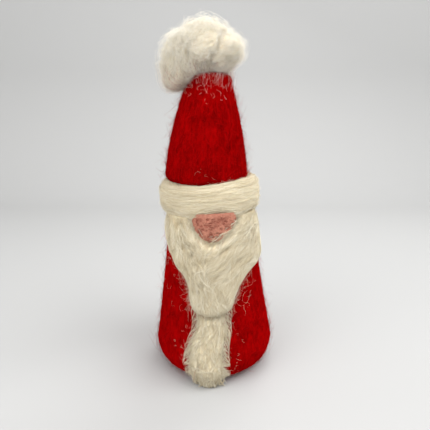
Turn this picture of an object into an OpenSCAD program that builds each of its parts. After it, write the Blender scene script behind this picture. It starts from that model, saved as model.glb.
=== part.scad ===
// Needle-felted tomte: a wool cone in a red coat, with a red hat, a wound brim,
// a nose, a beard of three locks, a white coat trim and a loose wool pompom.
// Millimetres, +Z up, front of the figure towards -Y, floor at z = 0.

/* [Body] */
// Height of the red coat, from the floor to the hat
body_h = 80; // [64:1:104]
// Widest radius of the coat, just above the floor
body_r = 25; // [20:0.5:32]
// Radius of the coat where the hat begins
neck_r = 15.8; // [13:0.1:19.5]
// Rounding radius of the coat's lower edge
edge_r = 11; // [7:0.5:14]
// Flare of the coat towards the floor, 1 is a straight cone
flare = 1.25; // [1:0.05:1.6]
// Thickness of the dyed wool over the core wool
coat_t = 2.5; // [1.5:0.1:3.5]
// How far the felt pad's rim stays inside the flat foot
pad_inset = 1.5; // [0.5:0.1:3]
// Radius of the core's crown, which the hat is felted onto
crown_r = 8.5; // [6:0.1:9]
// Height of that crown
crown_h = 6; // [4:0.5:10]
// Lean of the whole figure towards -X, in degrees
lean = 1.6; // [0:0.1:3]

/* [Hat] */
// Height of the hat
hat_h = 42; // [34:0.5:56]
// How much wider the hat is than the coat's neck, on each side
hat_over = 0.5; // [0:0.1:2]
// Radius of the hat where its tip begins to round
hat_tip_r = 8.4; // [6:0.1:10]
// Height of the rounded tip
hat_tip_h = 4.5; // [3:0.5:7]
// Rounding radius of the hat's rim
hat_edge_r = 3; // [1.5:0.1:4]
// Tilt of the hat back towards +X, in degrees
hat_tilt = 3.5; // [0:0.1:6]
// Sideways set of the hat on the neck
hat_shift = -1.3; // [-2:0.1:1]

/* [Brim] */
// Height of the wound roving
brim_h = 13.4; // [9:0.1:18]
// How far the roving stands out from the hat and coat
brim_t = 3.6; // [2.5:0.1:6]
// How far the roving covers the hat above the coat's top
brim_over_hat = 1; // [0.5:0.1:4]

/* [Nose] */
// Width of the nose
nose_w = 17; // [12:0.5:21]
// Height of the nose below the brim
nose_drop = 9; // [6:0.5:12]
// How far the nose stands out from the coat
nose_out = 3.6; // [2:0.1:5]
// Direction of the nose round the body, 0 is straight ahead
nose_turn = 6.5; // [-10:0.5:10]

/* [Beard and trim] */
// Height of the beard's tip above the floor
beard_tip_z = 31.5; // [26:0.5:40]
// Thickness of the beard's side locks
lock_t = 3; // [2:0.1:4]
// Thickness of the beard's middle lock
bib_t = 4.6; // [3:0.1:6]
// Width of the coat trim
trim_w = 13.2; // [9:0.5:20]
// Thickness of the coat trim
trim_t = 3; // [2:0.1:4]
// How far the trim runs up under the beard
trim_tuck = 5; // [3:0.5:8]

/* [Pompom] */
// Width of the pompom from side to side
pompom_w = 31; // [24:0.5:38]
// Height of the pompom from its hanging tuft to its top
pompom_h = 27.5; // [22:0.5:34]
// Sideways set of the pompom on the hat's tip
pompom_shift = -1.9; // [-3:0.1:1]

/* [Hidden] */
$fn = 64;

gap = 0.1;             // clearance between two pieces of wool that lie on each other
big = 400;             // side of the blocks that cut away a half space
edge_steps = 8;        // straight runs in a rounded edge
side_steps = 12;       // straight runs in a curved side
egg_steps = 22;        // straight runs in half the outline of an egg
beard_rows = 28;       // rows of faces along the whole beard
trim_edge_rows = 8;    // rows of faces along the trim where it goes round the lower edge
trim_side_rows = 10;   // rows of faces along the trim above that
patch_columns = 14;    // columns of faces across a lock of beard or the trim
pinch = 0.5;           // least width of a lock at its end, in degrees
thin = 0.7;            // thickness of a lock at its edge
trim_hidden_t = 1.4;   // thickness of the trim where the beard lies over it
trim_shade = 2.5;      // how far below the beard's tip the trim starts to thin
trim_low = -0.68;      // where the trim ends on the lower edge: 0 is its top and -1 its bottom
seam = 0.3;            // how far a side lock stays back from the line it shares, in degrees
hat_flare = 1.18;      // how the hat widens towards its rim, 1 is a straight cone
nose_blunt = 0.7;      // bluntness of the nose's point, 1 is a half ellipse
hat_rim_t = 0.6;       // thickness of the hat's coat at the very rim
brim_tuck = 2;         // how far the roving reaches in over the coat's top edge
red = "firebrick";
cream = "cornsilk";
undyed = "wheat";
skin = "rosybrown";

foot_r = body_r - edge_r;           // flat part of the coat's underside
pad_r = foot_r - pad_inset;
foot_sink = foot_r * sin(lean);     // how far the lean lifts one side of the foot
core_neck_r = neck_r - coat_t;
hat_r = neck_r + hat_over;
hat_skirt = (hat_r - hat_edge_r) * sin(hat_tilt);
brim_top = body_h + brim_over_hat;
brim_bottom = brim_top - brim_h;
brim_seat_r = max(hat_r, coat_r(brim_bottom));
brim_r = brim_seat_r + brim_t;
beard_top_z = brim_bottom - gap;
nose_z = brim_bottom + 0.5;
nose_r = nose_w / 2;
nose_half_h = nose_drop / sqrt(1 - pow(1 - nose_out / nose_r, 2 / nose_blunt));

// Side outlines of the beard: share of its height from tip to brim, then degrees round the body
beard_left = [[0, -12], [0.05, -21], [0.1, -23.5], [0.2, -25.5], [0.28, -27], [0.36, -30],
    [0.42, -33], [0.47, -40], [0.53, -45], [0.6, -51], [0.7, -60], [0.8, -72], [0.9, -80], [1, -84]];
beard_right = [[0, 12], [0.04, 20], [0.1, 23], [0.16, 25], [0.19, 26.5], [0.22, 28], [0.28, 32],
    [0.33, 36.5], [0.38, 43], [0.43, 51], [0.46, 58], [0.5, 70], [0.54, 84], [0.66, 95], [1, 100]];
// Where the side locks meet the middle one, and above it each other, under the nose
meet_turn = -2;
part_left = [[0.28, -27], [0.45, -24], [0.6, -15], [0.725, -2], [1, -2]];
part_right = [[0.19, 26.5], [0.4, 22], [0.6, 12], [0.725, -2], [1, -2]];
// The trim's middle: share of its run from the floor, then degrees round the body
trim_middle = [[0, -6.5], [0.5, -6.5], [0.7, -7.2], [0.77, -5.5], [0.85, -1], [1, -0.5]];

// Where the hanging tuft meets the others, and where those two meet each other
left_split = [-0.16, 0.2];
left_split_turn = -30;
right_split = [0.13, 0.25];
right_split_turn = -145;

// Radius of the coat at height z above its rounded lower edge
function coat_r(z) =
    neck_r + (body_r - neck_r) * pow(max(0, 1 - (z - edge_r) / (body_h - edge_r)), flare);

// Point on the coat's outline, grown by off: s from -1 to 0 runs up the lower edge, 0 to 1 up the side
function outline_point(s, off) =
    s < 0
        ? [foot_r + (edge_r + off) * cos(90 * s), edge_r + (edge_r + off) * sin(90 * s)]
        : let (z = edge_r + s * (body_h - edge_r)) [coat_r(z) + off, z];

// The same point for a height above the lower edge, as a value of s
function side_share(z) = (z - edge_r) / (body_h - edge_r);

function outline(off) = concat(
    [for (i = [0:edge_steps - 1]) outline_point(i / edge_steps - 1, off)],
    [for (i = [0:side_steps]) outline_point(i / side_steps, off)]
);

// Half outline of the hat, grown by off, from its rim to its tip
function hat_outline(off) = let (side_h = hat_h - hat_tip_h) concat(
    [for (i = [0:edge_steps - 1]) let (a = -90 + 90 * i / edge_steps)
        [hat_r - hat_edge_r + (hat_edge_r + off) * cos(a),
            hat_edge_r + (hat_edge_r + off) * sin(a)]],
    [for (i = [0:side_steps]) let (t = i / side_steps)
        [hat_r + off - (hat_r - hat_tip_r) * pow(t, hat_flare),
            hat_edge_r + t * (side_h - hat_edge_r)]],
    [for (i = [1:edge_steps]) let (a = 90 * i / edge_steps)
        [(hat_tip_r + off) * cos(a), side_h + (hat_tip_h + off) * sin(a)]]
);

// Moves a piece from the figure's own upright frame to where it stands
module stand() {
    translate([0, 0, -foot_sink]) rotate([0, -lean, 0]) children();
}

// The same for a piece that reaches the floor, which is cut flat there
module stand_on_floor() {
    difference() {
        stand() children();
        translate([-big / 2, -big / 2, -big]) cube(big);
    }
}

// The coat's outer shape as a solid, grown by off
module body_solid(off) {
    rotate_extrude() polygon(concat(
        [[0, -off]], outline(off), [[neck_r + off, body_h + off], [0, body_h + off]]));
}

module hat_place() {
    translate([hat_shift, 0, body_h + gap - hat_skirt]) rotate([0, hat_tilt, 0]) children();
}

// Cuts its child flat where the hat sits on the coat, or off lower
module cut_at_neck(off) {
    difference() {
        children();
        translate([-big / 2, -big / 2, body_h + gap - off - big]) cube(big);
    }
}

// The hat's outer shape as a solid, grown by off
module hat_solid(off) {
    cut_at_neck(off) hat_place()
        rotate_extrude() polygon(concat([[0, -off]], hat_outline(off)));
}

// The space inside the hat's coat, shrunk by off: straight at the rim, then coat_t inside the hat
module hat_inside(off) {
    foot = hat_r - hat_edge_r - hat_rim_t - off;
    shape = hat_outline(-coat_t - off);
    cut_at_neck(0) hat_place() rotate_extrude() polygon(concat(
        [[0, -hat_edge_r], [foot, -hat_edge_r], [foot, hat_edge_r / 2]],
        [for (i = [edge_steps:len(shape) - 1]) shape[i]]
    ));
}

// Crown of the core wool, grown by off
module crown(off) {
    rotate_extrude() polygon(concat(
        [[0, body_h - 1], [crown_r + off, body_h - 1]],
        [for (i = [0:edge_steps]) let (a = 90 * i / edge_steps)
            [(crown_r + off) * cos(a), body_h + (crown_h + off) * sin(a)]]
    ));
}

// Wound roving as a full ring, grown by off, before the hat and coat are cut out of it
module brim_ring(off) {
    middle = brim_bottom + brim_h / 2;
    inner = neck_r - brim_tuck - off;
    rotate_extrude() polygon(concat(
        [[inner, brim_top + off], [inner, brim_bottom - off]],
        [for (i = [0:side_steps]) let (a = -90 + 180 * i / side_steps)
            [brim_seat_r - 0.4 + (brim_t + 0.4 + off) * pow(cos(a), 0.8),
                middle + (brim_h / 2 + off) * sign(a) * pow(abs(sin(a)), 0.8)]]
    ));
}

// Egg set into the coat under the brim, grown by off
module nose_egg(off) {
    rotate([0, 0, nose_turn]) translate([0, nose_r - nose_out - coat_r(brim_bottom), nose_z])
        egg(nose_r + off, nose_half_h + off, nose_blunt);
}

// Solid of revolution with a half ellipse as its outline, blunter when blunt is below 1
module egg(r, half_h, blunt) {
    rotate_extrude() polygon([for (i = [0:egg_steps]) let (a = -90 + 180 * i / egg_steps)
        [r * pow(max(0, cos(a)), blunt), half_h * sin(a)]]);
}

// Corners of one row of a patch of wool lying on the coat, outside first and then inside
function patch_row(s, left, right, t) = concat(
    [for (j = [0:patch_columns]) let (c = 2 * j / patch_columns - 1)
        on_coat(s, (left + right) / 2 + c * (right - left) / 2,
            gap + thin + (t - thin) * pow(1 - c * c, 0.6))],
    [for (j = [0:patch_columns])
        on_coat(s, left + (right - left) * j / patch_columns, gap)]
);

function on_coat(s, turn, off) = let (p = outline_point(s, off))
    [p[0] * sin(turn), -p[0] * cos(turn), p[1]];

// Closed sheet of wool through the rows, with triangles only so that every face is flat
module patch(rows) {
    n = patch_columns + 1;
    last = len(rows) - 1;
    corners = [for (row = rows) each row];
    function at(i, j) = i * 2 * n + j;
    function quad(a, b, c, d) = norm(corners[a] - corners[c]) <= norm(corners[b] - corners[d])
        ? [[a, b, c], [a, c, d]] : [[a, b, d], [b, c, d]];
    outer = [for (i = [0:last - 1], j = [0:n - 2])
        each quad(at(i, j), at(i + 1, j), at(i + 1, j + 1), at(i, j + 1))];
    inner = [for (i = [0:last - 1], j = [n:2 * n - 2])
        each quad(at(i, j), at(i, j + 1), at(i + 1, j + 1), at(i + 1, j))];
    sides = [for (i = [0:last - 1]) each concat(
        quad(at(i, 0), at(i, n), at(i + 1, n), at(i + 1, 0)),
        quad(at(i, n - 1), at(i + 1, n - 1), at(i + 1, 2 * n - 1), at(i, 2 * n - 1)))];
    ends = [for (j = [0:n - 2]) each concat(
        quad(at(0, j), at(0, j + 1), at(0, n + j + 1), at(0, n + j)),
        quad(at(last, j), at(last, n + j), at(last, n + j + 1), at(last, j + 1)))];
    polyhedron(points = corners, faces = concat(outer, inner, sides, ends));
}

// Height share of beard row i, and the same as a place on the coat's side
function beard_share(i) = i / beard_rows;
function beard_s(i) = side_share(beard_tip_z + beard_share(i) * (beard_top_z - beard_tip_z));

// A side lock between the line it shares and its own outline, from row first upwards
module side_lock(first, shared, outer, side) {
    last = beard_rows;
    patch([for (i = [first:last]) let (
        v = beard_share(i),
        end = min(1, (i - first + 1.2) / 4, (last - i + 1.6) / 3),
        near = lookup(v, shared) + side * seam,
        far = side * max(side * lookup(v, outer), side * near + pinch)
    ) patch_row(beard_s(i), min(near, far), max(near, far), thin + (lock_t - thin) * end)]);
}

// The trim from the floor to its end under the beard, grown by off
module trim_patch(off) {
    top = side_share(beard_tip_z + trim_tuck + off);
    patch([for (i = [0:trim_edge_rows + trim_side_rows]) let (
        s = i < trim_edge_rows
            ? trim_low * (1 - i / trim_edge_rows)
            : top * (i - trim_edge_rows) / trim_side_rows,
        u = (s - trim_low) / (top - trim_low),
        r = s < 0 ? outline_point(s, 0)[0] : body_r,
        middle = lookup(u, trim_middle),
        half = (trim_w / 2 + off) / r * 180 / PI * (u < 0.12 ? 0.7 + 2.5 * u : 1),
        tucked = s > side_share(beard_tip_z - trim_shade)
    ) patch_row(s, middle - half, middle + half, (tucked ? trim_hidden_t : trim_t) + off)]);
}

module base_pad() {
    color(red) stand_on_floor()
        translate([0, 0, -foot_sink]) cylinder(r = pad_r, h = coat_t - gap + foot_sink);
}

module body_core() {
    color(undyed) stand() {
        rotate_extrude() polygon(concat(
            [[0, coat_t]], outline(-coat_t),
            [for (i = [0:edge_steps]) let (a = 90 * i / edge_steps)
                [crown_r * cos(a), body_h + crown_h * sin(a)]]
        ));
    }
}

module body_coat() {
    color(red) stand_on_floor() difference() {
        body_solid(0);
        rotate_extrude() polygon(concat([[0, coat_t - gap]], outline(gap - coat_t),
            [[core_neck_r + gap, body_h + 1], [0, body_h + 1]]));
        translate([0, 0, -1]) cylinder(r = pad_r + gap, h = coat_t + 1.5);
    }
}

module hat_core() {
    color(undyed) stand() difference() {
        hat_inside(gap);
        crown(gap);
    }
}

module hat_coat() {
    color(red) stand() difference() {
        hat_solid(0);
        hat_inside(0);
    }
}

module brim() {
    color(cream) stand() difference() {
        brim_ring(0);
        body_solid(gap);
        hat_solid(gap);
    }
}

module nose() {
    color(skin) stand() difference() {
        nose_egg(0);
        body_solid(gap);
        brim_ring(gap);
    }
}

module beard_left_lock() {
    color(cream) stand() difference() {
        side_lock(8, part_left, beard_left, -1);
        nose_egg(gap);
    }
}

module beard_right_lock() {
    color(cream) stand() difference() {
        side_lock(6, part_right, beard_right, 1);
        nose_egg(gap);
    }
}

// The middle lock: bounded by the side outlines at its tip and by the side locks above
module beard_bib() {
    last = 20;
    color(cream) stand() difference() {
        patch([for (i = [0:last]) let (
            v = beard_share(i),
            left = v < 0.28 ? lookup(v, beard_left) : lookup(v, part_left),
            right = v < 0.19 ? lookup(v, beard_right) : lookup(v, part_right),
            end = min(1, 0.75 + i / 8, (last - i + 2) / 8)
        ) patch_row(beard_s(i), left, right, thin + (bib_t - thin) * end)]);
        trim_patch(gap);
        nose_egg(gap);
    }
}

module coat_trim() {
    color(cream) stand_on_floor() trim_patch(0);
}

// An egg of wool: middle as shares of the pompom's width and height, half sizes the same, tilt
module tuft_shape(middle, half, tilt) {
    translate([middle[0] * pompom_w, 0, middle[1] * pompom_h]) rotate([0, tilt, 0])
        egg(half[0] * pompom_w, half[1] * pompom_h, 1);
}

// Puts a tuft on the hat's tip and cuts the hat out of it
module on_hat_tip() {
    stand() difference() {
        hat_place() translate([pompom_shift, 0, hat_h + gap]) children();
        hat_solid(gap);
    }
}

// Cuts away what lies beyond a plane through the point, facing turned degrees about Y
module cut_beyond(point, turned) {
    difference() {
        children();
        translate([point[0] * pompom_w, 0, point[1] * pompom_h]) rotate([0, turned, 0])
            translate([-gap / 2, -big / 2, -big / 2]) cube(big);
    }
}

module pompom_left_tuft() {
    color(cream) on_hat_tip() cut_beyond(left_split, left_split_turn)
        tuft_shape([-0.27, 0.085], [0.24, 0.41], 6);
}

module pompom_right_tuft() {
    color(cream) on_hat_tip() cut_beyond(right_split, right_split_turn)
        cut_beyond(left_split, left_split_turn + 180)
        tuft_shape([0.255, 0.25], [0.28, 0.31], -12);
}

module pompom_top_tuft() {
    color(cream) on_hat_tip() cut_beyond(right_split, right_split_turn + 180)
        cut_beyond(left_split, left_split_turn + 180)
        tuft_shape([0.03, 0.34], [0.36, 0.41], 8);
}

base_pad();
body_core();
body_coat();
hat_core();
hat_coat();
brim();
nose();
beard_left_lock();
beard_right_lock();
beard_bib();
coat_trim();
pompom_left_tuft();
pompom_right_tuft();
pompom_top_tuft();
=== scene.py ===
import bpy
import bmesh
import numpy as np
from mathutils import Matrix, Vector


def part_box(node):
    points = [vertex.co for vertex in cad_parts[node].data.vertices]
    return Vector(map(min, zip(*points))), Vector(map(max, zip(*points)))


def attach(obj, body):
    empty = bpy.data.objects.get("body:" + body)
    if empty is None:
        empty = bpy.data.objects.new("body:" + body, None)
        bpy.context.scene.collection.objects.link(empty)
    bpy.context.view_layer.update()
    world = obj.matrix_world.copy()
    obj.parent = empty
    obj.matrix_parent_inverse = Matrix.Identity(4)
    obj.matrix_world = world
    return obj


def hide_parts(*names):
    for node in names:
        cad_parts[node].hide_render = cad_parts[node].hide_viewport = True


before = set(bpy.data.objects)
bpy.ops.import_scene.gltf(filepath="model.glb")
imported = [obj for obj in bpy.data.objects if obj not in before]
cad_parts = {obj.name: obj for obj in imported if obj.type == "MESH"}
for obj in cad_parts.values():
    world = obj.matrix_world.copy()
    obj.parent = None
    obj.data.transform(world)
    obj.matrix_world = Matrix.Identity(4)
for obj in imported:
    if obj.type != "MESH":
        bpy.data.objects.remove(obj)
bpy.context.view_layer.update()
print("frame loaded:", len(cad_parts), "nodes")

mm = 0.001
tiny = 1e-12                # keeps a length of nothing from being divided by
coatLow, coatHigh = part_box("body_coat")
brimLow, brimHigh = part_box("brim")
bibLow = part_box("beard_bib")[0]

# the figure's own upright frame, before it leans; the sizes follow the frame's boxes
figure = {
    "lean": np.radians(1.6),
    "coatHeight": coatHigh.z,
    "radius": (coatHigh.y - coatLow.y) / 2,
    "neckRadius": 15.8 * mm,
    "edgeRadius": 11 * mm,
    "flare": 1.25,
    "wool": 2.5 * mm,       # thickness of the dyed layer
    "gap": 0.1 * mm,
}
figure["footRadius"] = figure["radius"] - figure["edgeRadius"]
figure["footSink"] = figure["footRadius"] * np.sin(figure["lean"])

colours = {                 # linear red, green, blue
    "redDeep": (0.115, 0.0003, 0.0004),
    "redBright": (0.31, 0.0007, 0.0011),
    "creamShade": (0.57, 0.465, 0.29),
    "cream": (0.75, 0.67, 0.495),
    "creamLight": (0.82, 0.76, 0.61),
    "pinkDeep": (0.27, 0.088, 0.06),
    "pink": (0.55, 0.25, 0.172),
    "coreWool": (0.66, 0.60, 0.48),
    "stage": (0.44, 0.44, 0.435),
}


# Random numbers on a lattice, blended between its eight corners with 3t^2 - 2t^3, from -1 to 1.
def latticeNoise(points, size, seed):
    p = points / size
    cell = np.floor(p).astype(np.int64)
    t = p - cell
    t = t * t * (3 - 2 * t)
    total = 0.0
    for corner in range(8):
        step = np.array([corner & 1, corner >> 1 & 1, corner >> 2 & 1])
        c = cell + step
        h = (c[..., 0] * 73856093) ^ (c[..., 1] * 19349663) ^ (c[..., 2] * 83492791) ^ (seed * 26544357)
        h = (h ^ (h >> 13)) * 1274126177
        h = (h ^ (h >> 16)) & 65535
        total = total + np.prod(np.where(step == 1, t, 1 - t), axis=-1) * h
    return total / 32767.5 - 1


# Sum of lattice noises, each half the size and half the strength of the one before.
def cloudNoise(points, size, seed, layers=3):
    total = 0.0
    for i in range(layers):
        total = total + latticeNoise(points, size / 2 ** i, seed + i) * 0.5 ** i
    return total / (2 - 0.5 ** (layers - 1))


# 0 below low, 1 above high and 3t^2 - 2t^3 between; high may be below low.
def smoothStep(low, high, value):
    t = np.clip((value - low) / (high - low), 0, 1)
    return t * t * (3 - 2 * t)


# e to the minus square of the distance from the middle, in widths.
def bell(value, middle, width):
    return np.exp(-((value - middle) / width) ** 2)


# x cos a - z sin a and x sin a + z cos a turn the figure by its lean; then the foot goes down to the floor.
def stand(points):
    a = figure["lean"]
    x, y, z = points[..., 0], points[..., 1], points[..., 2]
    return np.stack([x * np.cos(a) - z * np.sin(a), y,
                     x * np.sin(a) + z * np.cos(a) - figure["footSink"]], -1)


# Neck radius plus the rest of the base radius times (1 - share of the side's height) to the flare.
def coatRadius(z):
    share = (z - figure["edgeRadius"]) / (figure["coatHeight"] - figure["edgeRadius"])
    rest = figure["radius"] - figure["neckRadius"]
    return figure["neckRadius"] + rest * np.clip(1 - share, 0, 1) ** figure["flare"]


# along from -1 to 0 runs round the lower edge, as a quarter circle, and from 0 to 1 up the side.
def coatOutline(along, off):
    e, foot = figure["edgeRadius"], figure["footRadius"]
    a = np.pi / 2 * np.minimum(along, 0)
    z = e + np.maximum(along, 0) * (figure["coatHeight"] - e)
    radius = np.where(along < 0, foot + (e + off) * np.cos(a), coatRadius(z) + off)
    height = np.where(along < 0, e + (e + off) * np.sin(a), z)
    return radius, height


def alongFor(z):
    return (z - figure["edgeRadius"]) / (figure["coatHeight"] - figure["edgeRadius"])


# The same, and on the lower edge minus the arc cosine of the height as a share of a right angle.
def alongAnywhere(z):
    e = figure["edgeRadius"]
    return np.where(z < e, -np.arccos(np.clip(z / e, 0, 1)) / (np.pi / 2), alongFor(z))


# A place round the upright axis as (r sin turn, -r cos turn, z); turn is 0 in front, positive to +X.
def polar(radius, turn, z):
    return np.stack([radius * np.sin(turn), -radius * np.cos(turn), z], -1)


def onCoat(turn, along, off):
    radius, z = coatOutline(along, off)
    return polar(radius, turn, z)


# Vectors divided by their length, or by a little more than that.
def normed(vectors, more=0.0):
    return vectors / (np.linalg.norm(vectors, axis=-1, keepdims=True) + more)


# Lifts whatever lies lower up to the given height.
def aboveFloor(points, least):
    points[..., 2] = np.maximum(points[..., 2], least)
    return points


# Shortest distance from each point to a line of joined straight runs, in the same plane.
def distanceToLine(points, line):
    a, run = line[:-1], line[1:] - line[:-1]
    t = ((points[:, None] - a) * run).sum(-1) / np.maximum((run ** 2).sum(-1), 1e-14)
    near = a + np.clip(t, 0, 1)[..., None] * run
    return np.sqrt(((points[:, None] - near) ** 2).sum(-1)).min(1)


# Writes whole arrays of corners and faces into a mesh.
def fillMesh(name, corners, quads, triangles=None, slots=None):
    mesh = bpy.data.meshes.new(name)
    parts = [quads.ravel()]
    starts = [np.arange(len(quads)) * 4]
    if triangles is not None:
        parts.append(triangles.ravel())
        starts.append(len(quads) * 4 + np.arange(len(triangles)) * 3)
    loops, starts = np.concatenate(parts), np.concatenate(starts)
    mesh.vertices.add(len(corners))
    mesh.vertices.foreach_set("co", corners.astype(np.float32).ravel())
    mesh.loops.add(len(loops))
    mesh.loops.foreach_set("vertex_index", loops.astype(np.int32))
    mesh.polygons.add(len(starts))
    mesh.polygons.foreach_set("loop_start", starts.astype(np.int32))
    if slots is not None:
        mesh.polygons.foreach_set("material_index", slots.astype(np.int32))
    mesh.update(calc_edges=True)
    mesh.validate()
    mesh.shade_smooth()
    return mesh


def addPiece(name, mesh, materials, nodes=()):
    piece = bpy.data.objects.new(name, mesh)
    bpy.context.scene.collection.objects.link(piece)
    for material in materials:
        mesh.materials.append(material)
    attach(piece, "root")
    if nodes:
        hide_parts(*nodes)
    return piece


# A grid of points, rows by columns, as quads. Columns always close into a ring; rows close if asked.
# The map holds the share of a full ring across and the share of all rows along; shade is painted shade that
# darkens hollows.
def gridMesh(name, grid, closeRows=False, shade=None):
    rows, columns = grid.shape[:2]
    last = rows if closeRows else rows - 1
    i, j = np.meshgrid(np.arange(last), np.arange(columns), indexing="ij")
    a, b = i * columns + j, i * columns + (j + 1) % columns
    c, d = (i + 1) % rows * columns + (j + 1) % columns, (i + 1) % rows * columns + j
    quads = np.stack([a, b, c, d], -1).reshape(-1, 4)
    mesh = fillMesh(name, grid.reshape(-1, 3), quads)
    across = np.stack([j, j + 1, j + 1, j], -1).reshape(-1) / columns
    upward = np.stack([i, i, i + 1, i + 1], -1).reshape(-1) / last
    fibre = mesh.uv_layers.new(name="fibre")
    if len(mesh.loops) == len(across):
        fibre.data.foreach_set("uv", np.stack([across, upward], -1).astype(np.float32).ravel())
    depth = mesh.attributes.new("shade", "FLOAT", "POINT")
    if shade is not None:
        depth.data.foreach_set("value", shade.astype(np.float32).ravel())
    closed = bmesh.new()
    closed.from_mesh(mesh)
    bmesh.ops.remove_doubles(closed, verts=closed.verts, dist=2e-7)
    bmesh.ops.recalc_face_normals(closed, faces=closed.faces)
    closed.to_mesh(mesh)
    closed.free()
    return mesh


# Fibres: each is a three-sided tube along its points, full in the middle and down to tip at both ends.
# Side vector = direction x a fixed vector of the fibre's own, second vector = direction x side.
def fibreMesh(name, paths, radius, slots, seed, tip):
    count, steps = paths.shape[:2]
    rng = np.random.default_rng(seed)
    forward = normed(np.gradient(paths, axis=1), tiny)
    side = normed(np.cross(forward, rng.normal(size=(count, 1, 3))), tiny)
    other = np.cross(forward, side)
    t = np.linspace(0, 1, steps)
    width = (tip + (1 - tip) * np.sin(np.pi * np.clip(t, 0.02, 0.98)) ** 0.5)[None, :, None]
    width = width * np.asarray(radius).reshape(-1, 1, 1)
    rings = []
    for k in range(3):
        a = 2 * np.pi * k / 3
        rings.append(paths + width * (np.cos(a) * side + np.sin(a) * other))
    corners = np.stack(rings, 2)
    first = (np.arange(count) * steps * 3)[:, None, None]
    ring = (np.arange(steps - 1) * 3)[None, :, None]
    k = np.arange(3)[None, None, :]
    a, b = first + ring + k, first + ring + (k + 1) % 3
    quads = np.stack([a, b, b + 3, a + 3], -1).reshape(-1, 4)
    start = first[:, 0, 0]
    end = start + (steps - 1) * 3
    caps = np.concatenate([np.stack([start + 2, start + 1, start], -1),
                           np.stack([end, end + 1, end + 2], -1)])
    slots = np.asarray(slots)
    faceSlots = np.concatenate([np.repeat(slots, (steps - 1) * 3), slots, slots])
    return fillMesh(name, corners.reshape(-1, 3), quads, caps, faceSlots)


# Walks over the coat from each start. At every step the heading wanders at random and is pulled
# towards the flow at that place. Heading 0 runs round the body, -90 degrees runs down.
def walkOnCoat(turn, z, heading, length, steps, wander, rng, flow=None, pull=0.0):
    turns, heights = [turn], [z]
    step = length / (steps - 1)
    for _ in range(steps - 1):
        if flow is not None:
            heading = heading + pull * (flow(turn, z) - heading)
        heading = heading + rng.normal(scale=wander, size=len(turn))
        z = z + step * np.sin(heading)
        turn = turn + step * np.cos(heading) / coatRadius(z)
        turns.append(turn)
        heights.append(z)
    return np.stack(turns, 1), np.stack(heights, 1)


def newMaterial(name):
    material = bpy.data.materials.new(name)
    material.use_nodes = True
    return material, material.node_tree.nodes, material.node_tree.links


def setSockets(node, values):
    for name, value in values.items():
        node.inputs[name].default_value = value
    return node


# Wool as felt or roving: streaks of noise stretched along the fibres, cloudy patches, and bump.
def woolMaterial(name, dark, light, stretch, size, patch=0.35, bump=0.5, useMap=False,
                 sheen=0.25, scatter=0.0, specular=0.1):
    material, nodes, links = newMaterial(name)
    shader = nodes["Principled BSDF"]
    setSockets(shader, {"Roughness": 0.92, "Specular IOR Level": specular, "Sheen Weight": sheen,
                        "Sheen Roughness": 0.6, "Sheen Tint": (*light, 1)})
    if scatter:
        setSockets(shader, {"Subsurface Weight": scatter, "Subsurface Scale": 2 * mm,
                            "Subsurface Radius": (1.0, 0.7, 0.45)})
    where = nodes.new("ShaderNodeTexCoord")
    place = setSockets(nodes.new("ShaderNodeMapping"), {"Scale": stretch})
    links.new(where.outputs["UV" if useMap else "Object"], place.inputs["Vector"])
    streaks = setSockets(nodes.new("ShaderNodeTexNoise"),
                         {"Scale": size, "Detail": 5, "Roughness": 0.7, "Distortion": 0.4})
    links.new(place.outputs["Vector"], streaks.inputs["Vector"])
    patches = setSockets(nodes.new("ShaderNodeTexNoise"), {"Scale": 160, "Detail": 3})
    links.new(where.outputs["Object"], patches.inputs["Vector"])
    both = setSockets(nodes.new("ShaderNodeMix"), {"Factor": patch})
    links.new(streaks.outputs["Fac"], both.inputs["A"])
    links.new(patches.outputs["Fac"], both.inputs["B"])
    # painted shade: hollows are darker, as half of the shade attribute is taken off before the colours are
    # looked up
    hollow = nodes.new("ShaderNodeAttribute")
    hollow.attribute_name = "shade"
    darker = nodes.new("ShaderNodeMath")
    darker.operation = "MULTIPLY_ADD"
    darker.inputs[1].default_value = -0.5
    links.new(hollow.outputs["Fac"], darker.inputs[0])
    links.new(both.outputs["Result"], darker.inputs[2])
    ramp = nodes.new("ShaderNodeValToRGB")
    for element, position, colour in zip(ramp.color_ramp.elements, (0.33, 0.62), (dark, light)):
        element.position = position
        element.color = (*colour, 1)
    links.new(darker.outputs["Value"], ramp.inputs["Fac"])
    links.new(ramp.outputs["Color"], shader.inputs["Base Color"])
    relief = setSockets(nodes.new("ShaderNodeBump"), {"Strength": bump, "Distance": 0.25 * mm})
    links.new(streaks.outputs["Fac"], relief.inputs["Height"])
    links.new(relief.outputs["Normal"], shader.inputs["Normal"])
    return material


# One shade of loose fibre.
def fibreMaterial(name, colour, specular=0.2, scatter=0.0):
    material, nodes, _ = newMaterial(name)
    setSockets(nodes["Principled BSDF"], {
        "Base Color": (*colour, 1), "Roughness": 0.8, "Specular IOR Level": specular, "Sheen Weight": 0.3,
        "Sheen Tint": (*colour, 1), "Subsurface Weight": scatter, "Subsurface Scale": 0.4 * mm,
        "Subsurface Radius": (1.0, 0.95, 0.85)})
    return material


# Share t of the way from one colour to the other; above 1 goes on past it.
def mixColour(a, b, t):
    return tuple(np.array(colours[a]) * (1 - t) + np.array(colours[b]) * t)


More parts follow.
